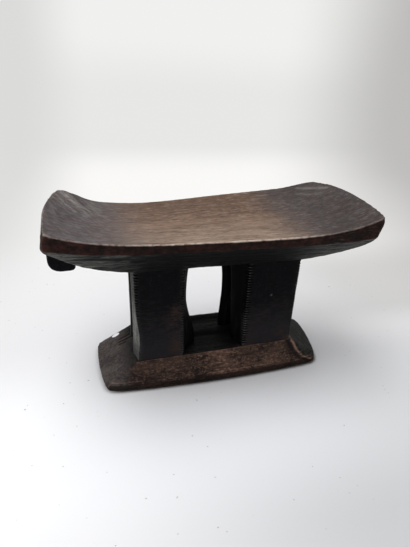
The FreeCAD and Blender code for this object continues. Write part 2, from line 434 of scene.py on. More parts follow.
def makeDarkWood():
    f = darkFinish
    r = Recipe("woodDark")
    wear, hollow, notch, tooth = r.masks("wear", "hollow", "notch", "tooth")
    footLight, flank, inside, handled = r.masks("footLight", "flank", "inside", "handled")
    grain, patches, specks, hatchFlat, hatchUpright = r.noises(f)
    # Painted light: the legs lighter towards the foot and darker under the seat, which shades their tops
    shade = footLight * 0.75 + patches * 0.7 + hatchFlat * 0.4 - 0.35

    colour = r.blend(r.ease(shade, 0.3, 1.0), f["black"], f["slate"])
    colour = r.blend(r.ease(hatchFlat * 0.6 + hatchUpright * 0.4, 0.5, 0.66) * 0.45, colour, f["slate"])
    colour = r.blend(footLight * r.ease(patches * 0.6 + hatchFlat * 0.4, 0.44, 0.62) * 0.45, colour, f["brown"])
    worn = r.ease(patches * 0.5 + hatchFlat * 0.3 + specks * 0.2, 0.42, 0.6)
    colour = r.blend(handled * worn, colour, f["brown"])
    colour = r.blend(r.ease(specks, 0.64, 0.76) * 0.16, colour, f["dust"])
    # Flank: grey dust, with painted light where the outer side faces the light
    colour = r.blend(flank * (0.2 + r.ease(grain * 0.5 + specks * 0.6, 0.4, 0.8) * 0.7), colour, f["dust"])
    colour = r.blend(r.ease(wear + patches * 0.4, 0.5, 1.0) * 0.2, colour, f["dust"])
    colour = r.blend(tooth * r.ease(specks, 0.35, 0.6) * 0.12, colour, f["dust"])
    # Painted shade on the faces looking into the window, and on the rear legs into the gap
    colour = r.blend(inside * (1.05 - r.ease(grain, 0.48, 0.62) * 0.6), colour, f["soot"])
    # Painted shade in hollows
    colour = r.blend(hollow * 0.6, colour, f["soot"])
    # Painted shade in the notch cuts
    colour = r.blend(notch, colour, f["soot"])

    height = hatchFlat * 0.7 + hatchUpright * 0.6 + grain * 0.5 + specks * 0.4
    roughness = 0.58 + patches * 0.2
    return r.finish(colour, roughness, height, f)


baseFinish = {
    "brown": tone(88, 67, 58),
    "dark": tone(34, 26, 24),
    "black": tone(7, 7, 7),
    "ochre": tone(146, 116, 98),
    "rose": tone(84, 77, 74),
    "mud": tone(52, 45, 45),
    "moss": tone(56, 55, 50),
    "pit": tone(18, 18, 17),
    "lip": tone(26, 19, 16),
    "worn": tone(150, 118, 104),
    "grey": tone(58, 58, 56),
    "noises": {
        "broad": ((13, 20, 20), 3, 0.6),
        "patches": ((26, 36, 36), 6, 0.7),
        "specks": ((150, 230, 230), 5, 0.75),
        "fine": ((260, 420, 420), 3, 0.7),
        "grain": ((16, 170, 170), 5, 0.7, 0.4),
        "pores": ((80, 900, 900), 3, 0.6),
    },
    "bumpStrength": 0.7,
    "bumpDepth": 0.9 * mm,
    "specular": 0.1,
}


def makeBaseWood():
    f = baseFinish
    r = Recipe("woodBase")
    wear, hollow, top, facet = r.masks("wear", "hollow", "topShare", "facet")
    leftShare, rightShare, lipShare, lipLine = r.masks("leftShare", "rightShare", "lipShare", "lipLine")
    nearLeg, scored, floorLit, ridge = r.masks("nearLeg", "scored", "floorLit", "ridge")
    broad, patches, specks, fine, grain, pores = r.noises(f)
    both = specks * 0.5 + patches * 0.5

    blotches = broad * 0.2 + patches * 0.3 + specks * 0.3 + grain * 0.2
    colour = r.blend(r.ease(blotches, 0.44, 0.56), f["dark"], f["brown"])
    flecks = r.ease(fine * 0.4 + specks * 0.45 + broad * 0.15, 0.5, 0.62)
    colour = r.blend(flecks * 0.6, colour, f["ochre"])
    colour = r.blend(r.ease(grain, 0.52, 0.64) * 0.7, colour, f["dark"])
    left = r.blend(r.ease(specks * 0.6 + patches * 0.4, 0.4, 0.62), f["mud"], f["rose"])
    colour = r.blend(r.ease(leftShare + specks * 0.5 + patches * 0.4, 0.6, 1.2), colour, left)
    right = r.blend(r.ease(specks * 0.5 + grain * 0.5, 0.42, 0.62), f["pit"], f["moss"])
    colour = r.blend(r.ease(rightShare + specks * 0.3, 0.5, 0.75), colour, right)
    colour = r.blend(facet * 0.85, colour, f["pit"])
    # Dark lip at the bottom: dark wood, partly painted shade of the lower edge
    colour = r.blend(lipShare * 0.8, colour, f["lip"])
    colour = r.blend(lipLine * r.ease(both, 0.42, 0.6) * 0.6, colour, f["worn"])
    # Painted shadow on the foot block round the legs' feet
    colour = r.blend(nearLeg * r.ease(both, 0.36, 0.56), colour, f["black"])
    # Painted shade in the stray cuts
    colour = r.blend(scored * 0.9, colour, f["black"])
    # The floor between the legs: painted shade, with bands of painted light
    lit = r.blend(floorLit * r.ease(grain * 0.5 + specks * 0.5, 0.4, 0.6), f["black"], f["grey"])
    colour = r.blend(top, colour, lit)
    colour = r.blend(ridge * r.ease(specks, 0.34, 0.6) * 0.75, colour, f["worn"])
    colour = r.blend(r.ease(wear + specks * 0.4, 0.5, 1.0) * 0.4 * (1 - top * 0.7), colour, f["ochre"])
    # Painted shade in hollows
    colour = r.blend(hollow * 0.65, colour, f["black"])

    height = specks * 0.9 + grain * 0.8 + pores * 0.3 + fine * 0.5
    roughness = 0.6 + specks * 0.2
    return r.finish(colour, roughness, height, f)


paperFinish = {
    "white": tone(243, 243, 246),
    "soiled": tone(205, 203, 205),
    "noises": {"fibres": ((900, 900, 900), 4, 0.6), "smudge": ((160, 160, 160), 3, 0.6)},
    "bumpStrength": 0.3,
    "bumpDepth": 0.1 * mm,
    "specular": 0.2,
}


def makePaper():
    f = paperFinish
    r = Recipe("whitePaper")
    fibres, smudge = r.noises(f)
    colour = r.blend(r.ease(smudge, 0.5, 0.8) * 0.4, f["white"], f["soiled"])
    return r.finish(colour, 0.7 + fibres * 0.1, fibres, f)


seatWood, darkWood, baseWood, whitePaper = makeSeatWood(), makeDarkWood(), makeBaseWood(), makePaper()
print("finishes mixed")


# Seat

seatLook = {
    "voxel": 1.3 * mm,
    "softening": 2,
    "swell": 0.3 * mm,
    "corners": (218.5 * mm, 221.5 * mm),  # left and right, from the middle
    "rim": 251 * mm,
    "rearRise": 2.8 * mm,
    "rise": 21.5 * mm,
    "bandMiddle": 12.2 * mm,
    "bandCorners": (20 * mm, 28 * mm),
    "twists": (-1.2 * mm, 7.2 * mm),  # front rim and rear rim
    "topSlope": (0.25, 0.45),  # how far a face looks up before it counts as the top
    "endSlope": (0.35, 0.75),
    "rightFade": (50 * mm, 180 * mm),  # where the middle gives way to each end
    "leftFade": (55 * mm, 200 * mm),
    "ragged": 1.6 * mm,  # wander of the band's lower edge
    "raggedCell": (7 * mm,) * 3,
    "wave": 0.5 * mm,
    "waveCell": (70 * mm, 40 * mm, 40 * mm),
    "dishCell": (34 * mm, 10 * mm, 10 * mm),
    "smallCell": (11 * mm, 6 * mm, 6 * mm),
    "bandDish": 0.7 * mm,
    "bevelDish": 1.7 * mm,
    "wearScale": (8, 0.6 * mm),  # rounds of smoothing, and the step that counts as full wear
    "seeds": {"wave": 11, "dish": 12, "small": 13, "ragged": 14},
    # Place, reach and shift of each swelling or dint, in millimetres
    "pushes": (
        ((-200, 98, 266), (15, 36, 30), (0, 0, 3.0)),
        ((-163, 99, 256), (20, 30, 20), (0, 0, -1.3)),
        ((-228, -60, 262), (14, 48, 14), (1.6, 0, 0)),
        ((-225, -92, 249), (16, 22, 12), (-4.6, 0, 0)),
        ((-222, 72, 268), (16, 34, 16), (-2.6, 0, 1.6)),
        ((229, 40, 272), (22, 45, 16), (1.6, 0, 2.2)),
        ((233, -92, 243), (15, 32, 11), (-4.5, 0, 3.0)),
        ((198, -84, 234), (42, 40, 20), (0, 0, -1.8)),
        ((225, 55, 276), (30, 70, 20), (0.8, 0, 1.6)),
        ((229, -30, 266), (14, 60, 14), (1.2, 0, 0)),
        ((192, 100, 273), (28, 24, 15), (0, 0, 2.0)),
    ),
    # Path in plan, width, rise, paleness and darkness of each mark carved in the top, in millimetres: the
    # paleness partly a painted highlight on a ridge, the darkness partly a stain and partly painted shade in a
    # groove
    "marks": (
        (((-212, 84), (-199.8, 64.2), (-183.9, 36.5)), 5.2, 1.5, 1.0, 0),
        (((-203, 88), (-190, 62), (-172, 34)), 2.2, 0.5, 0.6, 0),
        (((-215, 60), (-205, 36), (-190, 14)), 2.6, 0.4, 0.55, 0),
        (((-218, 30), (-206, 6), (-186, -18)), 2.4, -0.4, 0, 0.45),
        (((-183.9, 36.5), (-173.4, 7.2)), 4.5, 0.7, 0.45, 0),
        (((-201, 104), (-190, 84), (-179.5, 60)), 4.5, -1.2, 0, 0.75),
        (((-222, 44), (-224, 14), (-221, -24)), 3.0, -0.5, 0, 0.4),
        (((-206, 20), (-208, -18), (-203, -46)), 4.0, -0.5, 0, 0.4),
        (((-192, 4), (-199, -30)), 9.0, -0.3, 0, 0.35),
        (((186, -52), (206, -36)), 13.0, -0.4, 0, 0.5),
        (((182, 82), (200, 70), (214, 50)), 5.0, 0.4, 0.5, 0),
        (((172, 60), (200, 40)), 5.0, -0.4, 0.35, 0),
        (((150, 96), (186, 92)), 5.0, -0.6, 0, 0.35),
    ),
}


def endPlace(x):
    # Minus one at the left corners, one at the right ones
    left, right = seatLook["corners"]
    return np.where(x > 0, x / right, x / left)


def rimTwist(x, twist):
    share, peak = endPlace(x), math.sqrt(1 / 3)
    return twist * share * (1 - share ** 2) / (peak * (1 - peak ** 2))


def bandFoot(points):
    # Height of the band's lower edge at each point
    s, x = seatLook, points[:, 0]
    curl = endPlace(x) ** 4
    front = s["rim"] + rimTwist(x, s["twists"][0])
    rear = s["rim"] + s["rearRise"] + rimTwist(x, s["twists"][1])
    rim = np.where(points[:, 1] > 0, rear, front) + s["rise"] * curl
    left, right = s["bandCorners"]
    return rim - s["bandMiddle"] - (np.where(x > 0, right, left) - s["bandMiddle"]) * curl


def makeSeat():
    s = seatLook
    mesh = evenCopy("seat", s)
    points, normals, edges = readPoints(mesh), readNormals(mesh), readEdges(mesh)
    above = points[:, 2] - bandFoot(points) + strayed(points, s, "ragged")
    top = easeBetween(normals[:, 2], *s["topSlope"])
    band = easeBetween(above, -0.6 * mm, 0.6 * mm) * (1 - top)
    under = (1 - top) * (1 - band)
    x, y = points[:, 0], points[:, 1]
    rightEnd = easeBetween(x, *s["rightFade"])
    ends = np.maximum(easeBetween(-x, *s["leftFade"]), rightEnd)

    depth = strayed(points, s, "wave") * top
    depth += adzed(points, s) * (band * s["bandDish"] + under * s["bevelDish"])
    pale, darkened = np.zeros(len(points)), np.zeros(len(points))
    for path, width, rise, paleness, darkness in s["marks"]:
        near = nearPath(points, path, width) * top
        depth -= near * rise * mm
        pale, darkened = np.maximum(pale, near * paleness), np.maximum(darkened, near * darkness)
    depth = relaxed(depth, edges, 1) - s["swell"]
    writePoints(mesh, pushed(points - normals * depth[:, None], s["pushes"]))

    writeMask(mesh, "topFace", relaxed(top, edges, 1))
    writeMask(mesh, "bandFace", relaxed(band, edges, 1))
    scraped = easeBetween(ends - rightEnd, 0.4, 0.9) * (0.3 + 0.7 * easeBetween(y, -60 * mm, 50 * mm))
    # The top darker towards the rear, more at the right end
    atRear = easeBetween(y, 0, 90 * mm) * (0.15 + 0.2 * rightEnd)
    writeMask(mesh, "ends", ends)
    writeMask(mesh, "scraped", scraped)
    writeMask(mesh, "rightEnd", rightEnd)
    # Painted light on the underside towards the ends, less on the end faces
    writeMask(mesh, "endLight", ends * (1 - 0.7 * easeBetween(np.abs(normals[:, 0]), *s["endSlope"])))
    # Front of the top: painted sheen and lighter wear, reaching the right end's front rim
    nearRim = easeBetween(-y, 70 * mm, 98 * mm) * rightEnd * 0.6
    writeMask(mesh, "frontShare", easeBetween(-y, -20 * mm, 80 * mm) * (1 - ends) + nearRim)
    writeMask(mesh, "rearShare", easeBetween(y, -10 * mm, 70 * mm) * (1 - ends))
    writeMask(mesh, "pale", pale)
    writeMask(mesh, "darkened", np.maximum(darkened, atRear * top))
    markEdges(mesh, *s["wearScale"])
    return newPiece("seatCarved", mesh, "seat", seatWood)


seat = makeSeat()
print("seat carved:", len(seat.data.vertices))


# Foot block

baseLook = {
    "voxel": 1.1 * mm,
    "softening": 1,
    "swell": 0.2 * mm,
    "topHeight": 43.5 * mm,
    "lipHeight": 10 * mm,
    "grooveHeight": 12.4 * mm,
    "grooveDepth": 0.9 * mm,
    "grooveWidth": 0.9 * mm,
    "zoneEdge": 1 * mm,
    "topSlope": (0.9, 0.97),  # how far a face looks up, down, along Y or left to count as such
    "soleSlope": (0.6, 0.9),
    "longSlope": (0.3, 0.6),
    "leftSlope": (0.2, 0.45),
    "dish": 1.1 * mm,
    "floorDish": 1.4 * mm,
    "dishCell": (24 * mm, 13 * mm, 13 * mm),
    "smallCell": (7 * mm, 5 * mm, 5 * mm),
    "waver": 1.6 * mm,  # wander of the groove above the lip
    "waverCell": (40 * mm,) * 3,
    "wander": 7 * mm,  # and of the terraces' edges
    "wanderCell": (26 * mm, 60 * mm, 60 * mm),
    "wearScale": (8, 0.55 * mm),
    "seeds": {"dish": 21, "small": 22, "waver": 23, "wander": 24, "ragged": 25},
    "floorReach": 52 * mm,
    # The floor of the window from front to back: place along Y, how far it rises and how much painted light
    # falls on it
    "terraces": ((-60, 0, 0.55), (-50, -0.4, 0.5), (-30, -1.8, 0.42), (-10, -2.6, 0.05), (-6, -3.0, 0),
                 (1, -0.6, 0), (7, 0.5, 0.3), (22, 0.2, 0.45), (27, -1.2, 0.1), (33, -2.2, 0), (41, -2.2, 0),
                 (46, 0.6, 0.4), (50, 1.8, 0.7), (60, 1.8, 0.7)),
    "legs": ((-124, -45), (44, 135)),  # what the legs' feet cover along X
    "legReach": 52,
    "soot": 13 * mm,  # how far the painted shadow reaches from there
    "pushes": (
        ((138, 56, 44), (14, 16, 12), (2.5, 2.0, 1.5)),
        ((0, 56, 47), (50, 12, 10), (0, 0, 1.2)),
    ),
    # Path in plan, width and depth of each stray cut in the left bevel
    "gouges": (
        (((-140.5, 29.5), (-127, 27.5)), 1.9, 1.8),
        (((-143, 23), (-125, 19.5)), 2.0, 2.0),
        (((-143.5, 16.5), (-134, 14)), 1.8, 1.5),
    ),
    # The worn ridge between the front bevel and the right one: height, then place along X
    "ridge": ((5, 178), (12, 164.5), (18, 155.9), (26.3, 148.5), (34.9, 142.5), (46, 136)),
    "ridgeWidth": 2.6 * mm,
    "ridgeRise": 1.3 * mm,
    "ragged": 2 * mm,
    "raggedCell": (9 * mm,) * 3,
    "facetDepth": 0.9 * mm,
}


def baseZones(points, normals):
    # How far each point belongs to the top, the sole, the lip, a long side and a bevel
    s, z = baseLook, points[:, 2]
    high = easeBetween(z, s["topHeight"], s["topHeight"] + s["zoneEdge"])
    top = high * easeBetween(normals[:, 2], *s["topSlope"])
    sole = easeBetween(-normals[:, 2], *s["soleSlope"])
    lip = 1 - easeBetween(z, s["lipHeight"], s["lipHeight"] + s["zoneEdge"])
    long = easeBetween(np.abs(normals[:, 1]), *s["longSlope"]) * (1 - sole)
    return top, sole, lip, long, (1 - top) * (1 - sole) * (1 - lip)


def endRidge(points, top, sole):
    # The worn ridge, the hollowed facet before it and how far each point lies past it
    s = baseLook
    x, y, z = points.T
    heights, places = np.array(s["ridge"]).T * mm
    past = x - np.interp(z, heights, places) + strayed(points, s, "ragged")
    front = easeBetween(-y, -10 * mm, 20 * mm) * (1 - sole) * (1 - top)
    ridge = np.exp(-(past / s["ridgeWidth"]) ** 2) * front * easeBetween(z, 4 * mm, 10 * mm)
    facet = easeBetween(past, -15 * mm, -9 * mm) * (1 - easeBetween(past, -3 * mm, 0)) * front
    return ridge, facet, past


def nearLegs(points):
    # One at a leg's foot, falling to nothing over the painted shadow's reach
    s, near = baseLook, np.zeros(len(points))
    for low, high in s["legs"]:
        gapX = np.maximum(0, np.maximum(low * mm - points[:, 0], points[:, 0] - high * mm))
        gapY = np.maximum(0, np.abs(points[:, 1]) - s["legReach"] * mm)
        near = np.maximum(near, np.exp(-(np.hypot(gapX, gapY) / s["soot"]) ** 2))
    return near


def makeBase():
    s = baseLook
    mesh = evenCopy("base", s)
    points, normals, edges = readPoints(mesh), readNormals(mesh), readEdges(mesh)
    x, y, z = points.T
    top, sole, lip, long, bevel = baseZones(points, normals)

    depth = adzed(points, s) * (s["dish"] + (s["floorDish"] - s["dish"]) * top) * (1 - sole)
    waver = strayed(points, s, "waver")
    depth += s["grooveDepth"] * np.exp(-((z + waver - s["grooveHeight"]) / s["grooveWidth"]) ** 2) * long
    inWindow = easeBetween(s["floorReach"] - np.abs(x), 0, 4 * mm) * top
    places, rises, lights = np.array(s["terraces"]).T
    along = (y + strayed(points, s, "wander")) / mm
    depth -= inWindow * np.interp(along, places, rises) * mm
    floorLit = np.interp(along, places, lights) * (0.15 + 0.85 * inWindow)
    onLeft = easeBetween(-normals[:, 0], *s["leftSlope"]) * bevel
    scored = np.zeros(len(points))
    for path, width, deep in s["gouges"]:
        near = nearPath(points, path, width) * onLeft
        depth += near * deep * mm
        scored = np.maximum(scored, near * min(1, deep))
    ridge, facet, past = endRidge(points, top, sole)
    onRight = easeBetween(past, -1 * mm, 1 * mm) * bevel
    depth += facet * s["facetDepth"] - ridge * s["ridgeRise"]
    depth = relaxed(depth, edges, 1) - s["swell"] * (1 - sole)
    writePoints(mesh, pushed(points - normals * depth[:, None], s["pushes"]))

    writeMask(mesh, "topShare", relaxed(top, edges, 2))
    writeMask(mesh, "lipShare", relaxed(lip * (0.25 + 0.75 * long) * (1 - sole), edges, 1))
    writeMask(mesh, "lipLine", np.exp(-((z + waver - s["grooveHeight"] - 1.4 * mm) / (1 * mm)) ** 2) * long)
    leftShare = np.maximum(onLeft, easeBetween(-x, 112 * mm, 156 * mm) * (1 - top))
    writeMask(mesh, "leftShare", relaxed(leftShare, edges, 6))
    writeMask(mesh, "rightShare", relaxed(onRight, edges, 1))
    writeMask(mesh, "facet", relaxed(facet, edges, 1))
    writeMask(mesh, "scored", scored)
    writeMask(mesh, "floorLit", floorLit)
    writeMask(mesh, "nearLeg", nearLegs(points) * bevel * np.where(np.abs(normals[:, 0]) > 0.3, 1, 0.5))
    writeMask(mesh, "ridge", relaxed(ridge, edges, 1))
    markEdges(mesh, *s["wearScale"])
    return newPiece("footBlockCarved", mesh, "base", baseWood)


base = makeBase()
print("foot block carved:", len(base.data.vertices))


# Blank paper sticker on the left bevel

stickerLook = {
    "place": (-148.3 * mm, 48 * mm, 28.4 * mm),
    "long": 7.6 * mm,
    "short": 4.4 * mm,
    "turn": -18,
    "lift": 0.4 * mm,
    "drop": 15 * mm,
    "around": 40,
    "rings": 5,
}


def makeSticker(ground):
    s = stickerLook
    points, normals = readPoints(ground.data), readNormals(ground.data)
    near = np.linalg.norm(points - np.array(s["place"]), axis=1) < s["long"]
    up = Vector(normals[near].mean(axis=0)).normalized()
    centre = Vector(points[near].mean(axis=0))
    right = Vector((1, 0, 0)).cross(up).normalized().cross(up) * -1
    ahead = up.cross(right)
    turn = Matrix.Rotation(math.radians(s["turn"]), 3, up)
    bpy.context.view_layer.update()

    def laid(size, angle, lift):
        # A point of the paper, dropped on the wood
        flat = right * (s["long"] * size * math.cos(angle)) + ahead * (s["short"] * size * math.sin(angle))
        spot = centre + turn @ flat
        hit, place, _, _ = ground.ray_cast(spot + up * s["drop"], -up)
        return (place if hit else spot) + up * lift

    n = s["around"]
    angles = [2 * math.pi * i / n for i in range(n)]
    rows = [(k / s["rings"], s["lift"]) for k in range(1, s["rings"] + 1)] + [(1, -s["lift"])]
    corners = [laid(0, 0, s["lift"])] + [laid(size, angle, lift) for size, lift in rows for angle in angles]
    faces = [(0, 1 + i, 1 + (i + 1) % n) for i in range(n)]
    for k in range(len(rows) - 1):
        for i in range(n):
            j = (i + 1) % n
            faces.append((1 + k * n + i, 1 + (k + 1) * n + i, 1 + (k + 1) * n + j, 1 + k * n + j))
    faces.append(tuple(1 + (len(rows) - 1) * n + i for i in range(n))[::-1])
    mesh = bpy.data.meshes.new("paperDot")
    mesh.from_pydata([tuple(c) for c in corners], [], faces)
    mesh.update()
    mesh.materials.append(whitePaper)
    mesh.shade_smooth()
    dot = newObject("paperDot", mesh)
    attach(dot, "root")
    return dot


makeSticker(base)
print("sticker laid")


# Grip lugs

lugLook = {
    "voxel": 1.0 * mm,
    "softening": 3,
    "swell": 0.3 * mm,
    "dish": 0.6 * mm,
    "dishCell": (12 * mm,) * 3,
    "handledSlope": (0.3, 0.9),
    "wearScale": (8, 0.5 * mm),
    "seeds": {"left_lug": 31, "right_lug": 32},
}


def makeLug(node):
    s = lugLook
    mesh = evenCopy(node, s)
    points, normals = readPoints(mesh), readNormals(mesh)
    dish = 0.5 - gougeDishes(points, s["dishCell"], s["seeds"][node])
    writePoints(mesh, points - normals * (dish * s["dish"] - s["swell"])[:, None])
    writeMask(mesh, "handled", easeBetween(-normals[:, 2], *s["handledSlope"]) * 0.7)
    markEdges(mesh, *s["wearScale"])
    return newPiece(node.title().replace("_", "") + "Carved", mesh, node, darkWood)


lugs = [makeLug("left_lug"), makeLug("right_lug")]
print("lugs carved:", sum(len(lug.data.vertices) for lug in lugs))


# Legs

legLook = {
    "front": -52 * mm,
    "gapFace": -12 * mm,
    "low": 41.7 * mm,  # where the lowest and the highest of the five sections lie
    "high": 202.5 * mm,
    "bottom": 43 * mm,  # the ends run a little into the foot block and the seat
    "cheekDepth": 13 * mm,
    "windowCheek": 5 * mm,
    "flankCheek": 1.5 * mm,
    "belly": 1 * mm,
    "backBevel": 6 * mm,
    "pitch": 4.4 * mm,
    "mouth": 3.3 * mm,
    "reach": 9.5 * mm,
    "count": 32,
    "firstNotch": 53.9 * mm,
    "step": 1.1 * mm,  # spacing of the points round a section
    "rowShares": (0, 0.1, 0.2, 0.318, 0.41, 0.5, 0.59, 0.682, 0.8, 0.9),
    "wave": 0.5 * mm,
    "waveCell": (30 * mm, 30 * mm, 45 * mm),
    "facetCell": (14 * mm, 14 * mm, 30 * mm),
    "biteRange": (0.75, 1.0),  # how deep each notch was cut, as a share of the reach
    "wobble": 0.3 * mm,  # how far each notch strays up or down
    "flankSwell": (4, 2.5, 2, 2, 2.5),
    "swell": 0.4 * mm,
    "cutShade": (0.2 * mm, 1.4 * mm),  # how deep a cut is where its painted shade starts, and where it is fully black
    "toothReach": 5 * mm,
    "footFade": (50 * mm, 175 * mm),
    "insideSlope": (0.35, 0.7),
    "gapSlope": (0.2, 0.5),
    "flankSlope": (0.55, 0.85),
    "flankFade": (110 * mm, 160 * mm),
    "flankFoot": (50 * mm, 85 * mm),
    "bareFoot": (47 * mm, 52 * mm),  # no edge wear where the leg runs into the foot block or the seat
    "bareTop": (1 * mm, 4 * mm),
    "wearScale": (6, 0.5 * mm),
    "firstSeed": 41,
    "seedStep": 10,
}
# For each leg, in millimetres: where the arrises stand, how far the window side swells at five heights,
# how sharp the notches still are at the foot and the top of the outer and the inner arris, soft pushes,
# where hands have worn the front as a path in X and Z and its width, small pale nicks, and how much
# dust and painted light the flank carries
legSizes = {
    "front_left_leg": {
        "outer": -120, "inner": -49, "rear": False,
        "window": (25, 21, 11, 10.5, 17),
        "sharp": ((0.1, 1.0), (0.7, 0.6)),
        "pushes": (((-120, -52, 84), (8, 14, 34), (4.2, 1.5, 0)),),
        "handled": (((-60, 130), (-66, 100), (-60, 62)), 11),
        "nicks": (),
        "dustAndLight": 1.6,
    },
    "front_right_leg": {
        "outer": 131, "inner": 48, "rear": False,
        "window": (10, 11.5, 13.5, 16, 24),
        "sharp": ((0.8, 0.8), (1.15, 1.25)),
        "pushes": (),
        "handled": (((116, 64), (126, 50)), 8),
        "nicks": (((88.1, 138.2), (88.8, 138.5)),),
        "dustAndLight": 0.4,
    },
    "rear_left_leg": {
        "outer": -120, "inner": -49, "rear": True,
        "window": (25, 21, 11, 10.5, 17),
        "sharp": ((0.8, 0.9), (0.8, 0.9)),
        "pushes": (),
        "handled": (((-110, 58), (-60, 52)), 9),
        "nicks": (),
        "dustAndLight": 0.45,
    },
    "rear_right_leg": {
        "outer": 131, "inner": 48, "rear": True,
        "window": (21, 20.5, 18, 20.5, 26.5),
        "sharp": ((0.8, 0.9), (0.8, 0.9)),
        "pushes": (),
        "handled": (((60, 54), (120, 60)), 9),
        "nicks": (),
        "dustAndLight": 0.35,
    },
}


def curveThrough(levels, share):
    # A smooth curve through five even levels
    spots = np.linspace(0, 1, len(levels))
    fit = np.polyfit(spots, levels, len(levels) - 1)
    return np.polyval(fit, share)


def legRing(size, z):
    # Corner points of the section at one height, and which of them are arrises
    s = legLook
    share = (z - s["low"]) / (s["high"] - s["low"])
    outer, inner = size["outer"] * mm, size["inner"] * mm
    side = math.copysign(1, inner - outer)
    windowX = inner + side * curveThrough(size["window"], share) * mm
    flankX = outer - side * curveThrough(s["flankSwell"], share) * mm
    cheek, crest = s["front"] + s["cheekDepth"], s["gapFace"] - s["backBevel"]
    a, b = (outer - side * s["flankCheek"], cheek), (inner + side * s["windowCheek"], cheek)
    c, d = (windowX, crest), (windowX - side * s["backBevel"], s["gapFace"])
    e, f = (flankX + side * s["backBevel"], s["gapFace"]), (flankX, crest)
    bulgeB = ((b[0] + c[0]) / 2 + side * s["belly"], (b[1] + c[1]) / 2)
    bulgeF = ((f[0] + a[0]) / 2 - side * s["belly"], (f[1] + a[1]) / 2)
    return np.array([(outer, s["front"]), (inner, s["front"]), b, bulgeB, c, d, e, f, bulgeF, a])


def legCounts(size):
    # How many points each side of the section gets, the same at every height
    ring = legRing(size, (legLook["low"] + legLook["high"]) / 2)
    spans = np.linalg.norm(np.roll(ring, -1, axis=0) - ring, axis=1)
    return np.maximum(2, np.round(spans / legLook["step"])).astype(int)


def legRows(top):
    s = legLook
    shares = [i + share for i in range(s["count"]) for share in s["rowShares"]]
    rows = [s["bottom"], s["firstNotch"] - 3 * s["pitch"] / 2]
    rows += [s["firstNotch"] + (share - 0.5) * s["pitch"] for share in shares]
    last = s["firstNotch"] + (s["count"] - 0.5) * s["pitch"]
    rows += list(np.linspace(last, top, 4))
    return np.array(sorted(set(r for r in rows if s["bottom"] <= r <= top)))


def notchSink(ring, corner, into, z, table):
    # How far the notch at this height pushes each point of a section in, beside one arris
    s = legLook
    place = (z - s["firstNotch"]) / s["pitch"]
    i = int(round(place))
    if not 0 <= i < s["count"]:
        return np.zeros(len(ring))
    wobble, bite = table[i]
    offset = abs((place - i) * s["pitch"] - wobble)
    depth = s["reach"] * abs(into[0]) * bite * (1 - offset / (s["mouth"] / 2))
    reach = ring - corner
    near = np.linalg.norm(reach, axis=1) < 1.3 * s["reach"]
    return np.where(near, np.maximum(0, depth - reach @ into), 0)


def cutArrises(size, side, seed):
    # For the outer and the inner arris: its place, the way its notches go in, and each notch's wobble and bite
    s, draws, arrises = legLook, np.random.default_rng(seed), []
    outerArris = (size["outer"], side, s["flankCheek"], size["sharp"][0])
    innerArris = (size["inner"], -side, s["windowCheek"], size["sharp"][1])
    for x, inward, proud, sharp in (outerArris, innerArris):
        face = np.array((inward, 0.0))
        cheek = np.array((-inward * proud, s["cheekDepth"]))
        cheek /= np.linalg.norm(cheek)
        into = (face + cheek) / np.linalg.norm(face + cheek)
        bites = draws.uniform(*s["biteRange"], s["count"]) * np.linspace(*sharp, s["count"])
        table = np.stack([draws.uniform(-s["wobble"], s["wobble"], s["count"]), bites], axis=1)
        arrises.append((np.array((x * mm, s["front"])), into, table))
    return arrises


def legLayers(size, rows, arrises):
    # The section at every height, how deep the notches cut its points, and how far these lie from an arris
    counts = legCounts(size)
    layers, sunk, arrisGap = [], [], []
    for z in rows:
        corners = legRing(size, z)
        ring = np.concatenate([np.linspace(a, b, n, endpoint=False)
                               for a, b, n in zip(corners, np.roll(corners, -1, axis=0), counts)])
        for _ in range(3):
            ring = ring * 0.5 + (np.roll(ring, 1, axis=0) + np.roll(ring, -1, axis=0)) * 0.25
        gap, cut = np.full(len(ring), 1.0), np.zeros(len(ring))
        for corner, into, table in arrises:
            gap = np.minimum(gap, np.linalg.norm(ring - corner, axis=1))
            sink = notchSink(ring, corner, into, z, table)
            ring = ring + sink[:, None] * into
            cut = np.maximum(cut, sink)
        layers.append(np.column_stack([ring, np.full(len(ring), z)]))
        sunk.append(cut)
        arrisGap.append(gap)
    return [np.concatenate(part) for part in (layers, sunk, arrisGap)]


def tubeFaces(around, tall):
    # Quads between the sections, and a face on each end
    faces = []
    for j in range(tall - 1):
        for i in range(around):
            k = (i + 1) % around
            faces.append((j * around + i, j * around + k, (j + 1) * around + k, (j + 1) * around + i))
    faces.append(tuple(range(around))[::-1])
    faces.append(tuple((tall - 1) * around + i for i in range(around)))
    return faces


